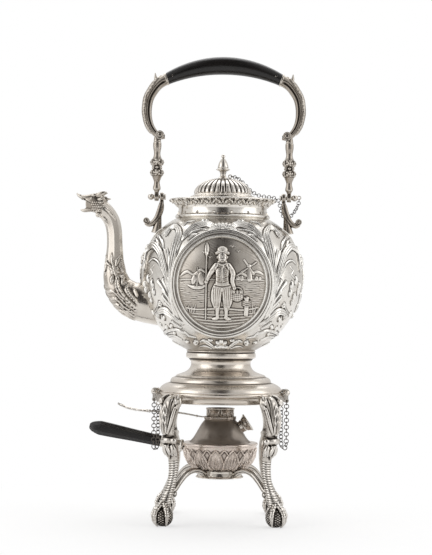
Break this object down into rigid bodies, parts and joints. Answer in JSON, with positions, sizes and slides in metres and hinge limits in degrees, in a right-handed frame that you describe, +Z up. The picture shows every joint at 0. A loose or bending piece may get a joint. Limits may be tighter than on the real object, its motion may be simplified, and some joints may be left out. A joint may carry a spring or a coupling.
{
  "type": "spirit kettle on stand",
  "caption": "Globular footed kettle with chased medallions, beast spout, chained lid and swing handle, tilting on a claw-footed stand over a spirit lamp.",
  "frame": {"origin": "on the table plane under the middle of the whole object's plan box", "axes": "+Z up from the feet, -X towards the spout and the lamp's handle, -Y towards the pictured side"},
  "size_m": [0.1962, 0.1444, 0.3955],
  "materials": {
    "silver_plate": "polished",
    "lamp_silver": "satin",
    "smoked_silver": "satin",
    "burner_brass": "satin",
    "ebony": "polished",
    "cotton_wick": "matte"
  },
  "bodies": {
    "stand": {"stand_ring": "silver_plate", "leg_front_left": "silver_plate", "leg_front_right": "silver_plate", "leg_back_left": "silver_plate", "leg_back_right": "silver_plate", "foot_front_left": "silver_plate", "foot_front_right": "silver_plate", "foot_back_left": "silver_plate", "foot_back_right": "silver_plate", "lamp_ring": "silver_plate", "arm_front_left": "silver_plate", "arm_front_right": "silver_plate", "arm_back_left": "silver_plate", "arm_back_right": "silver_plate", "knuckles_left": "silver_plate", "knuckles_right": "silver_plate", "chain_left": "silver_plate", "chain_right": "silver_plate", "chain_staples": "silver_plate"},
    "kettle": {"kettle_body": "silver_plate", "body_ornament": "silver_plate", "kettle_neck": "silver_plate", "neck_border": "silver_plate", "neck_studs": "silver_plate", "front_medallion": "silver_plate", "back_medallion": "silver_plate", "spout": "silver_plate", "spout_head": "silver_plate", "kettle_foot": "silver_plate", "hinge_eye": "silver_plate", "back_hook": "silver_plate", "ear_left": "silver_plate", "ear_right": "silver_plate", "pivot_pin_left": "silver_plate", "pivot_pin_right": "silver_plate", "lid_chain": "silver_plate"},
    "lid": {"lid_flange": "silver_plate", "lid_dome": "silver_plate", "lid_finial": "silver_plate", "finial_nut": "silver_plate", "lid_eye": "silver_plate"},
    "handle": {"grip": "ebony", "scroll_left": "silver_plate", "scroll_right": "silver_plate", "post_left": "silver_plate", "post_right": "silver_plate", "grip_rivets": "silver_plate"},
    "left_pin": {"pin_left": "silver_plate"},
    "right_pin": {"pin_right": "silver_plate"},
    "lamp": {"lamp_bowl": "lamp_silver", "lamp_shoulder": "smoked_silver", "burner": "burner_brass", "wick": "cotton_wick", "filler_neck": "silver_plate", "lamp_ferrule": "silver_plate", "lamp_handle": "ebony", "lamp_rivet": "silver_plate"},
    "lamp_regulator": {"regulator": "silver_plate", "lever": "silver_plate"},
    "stopper": {"filler_stopper": "silver_plate"}
  },
  "joints": [
    {"name": "kettle_tilt", "type": "hinge", "parent": "stand", "child": "kettle", "pos_m": [-0.0287, 0, 0.109], "axis": [0, -1, 0], "range_deg": [0, 50]},
    {"name": "handle_swing", "type": "hinge", "parent": "kettle", "child": "handle", "pos_m": [0.0275, 0, 0.275], "axis": [1, 0, 0], "range_deg": [-85, 85]},
    {"name": "lid_lift", "type": "slide", "parent": "kettle", "child": "lid", "axis": [0, 0, 1], "range_m": [0, 0.04], "deforming": ["lid_chain"]},
    {"name": "left_pin_draw", "type": "slide", "parent": "stand", "child": "left_pin", "axis": [0, -1, 0], "range_m": [0, 0.0175], "deforming": ["chain_left"]},
    {"name": "right_pin_draw", "type": "slide", "parent": "stand", "child": "right_pin", "axis": [0, -1, 0], "range_m": [0, 0.0175], "deforming": ["chain_right"]},
    {"name": "lamp_lift", "type": "slide", "parent": "stand", "child": "lamp", "axis": [0, 0, 1], "range_m": [0, 0.006]},
    {"name": "regulator_turn", "type": "hinge", "parent": "lamp", "child": "lamp_regulator", "pos_m": [0.0275, 0, 0.088], "axis": [0, 0, -1], "range_deg": [-5, 25]},
    {"name": "stopper_pull", "type": "slide", "parent": "lamp", "child": "stopper", "axis": [0.829, 0, 0.5592], "range_m": [0, 0.01]}
  ]
}
